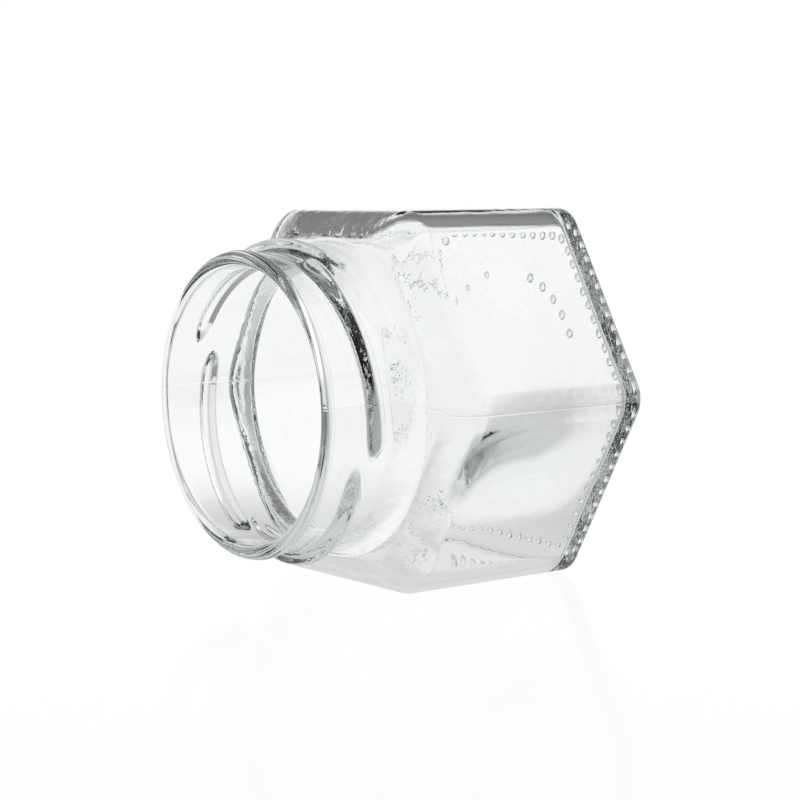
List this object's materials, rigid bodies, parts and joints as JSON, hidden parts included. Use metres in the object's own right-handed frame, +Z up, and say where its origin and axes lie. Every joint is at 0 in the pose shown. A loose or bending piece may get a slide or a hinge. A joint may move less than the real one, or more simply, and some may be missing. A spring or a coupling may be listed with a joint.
{
  "type": "hexagonal glass jar",
  "caption": "Empty hexagonal clear glass jar with a round twist-off neck and no lid, lying on a flat side of its body.",
  "frame": {"origin": "on the supporting surface, under the middle of the jar's bounding box as it lies on a flat side", "axes": "+Z up, the jar's own axis along X with the mouth towards -X and the base towards +X, two opposite edges of the hexagon towards -Y and +Y"},
  "size_m": [0.0672, 0.0824, 0.073],
  "materials": {
    "clear_glass": "polished"
  },
  "bodies": {
    "root": {"jar": "clear_glass"}
  },
  "joints": []
}
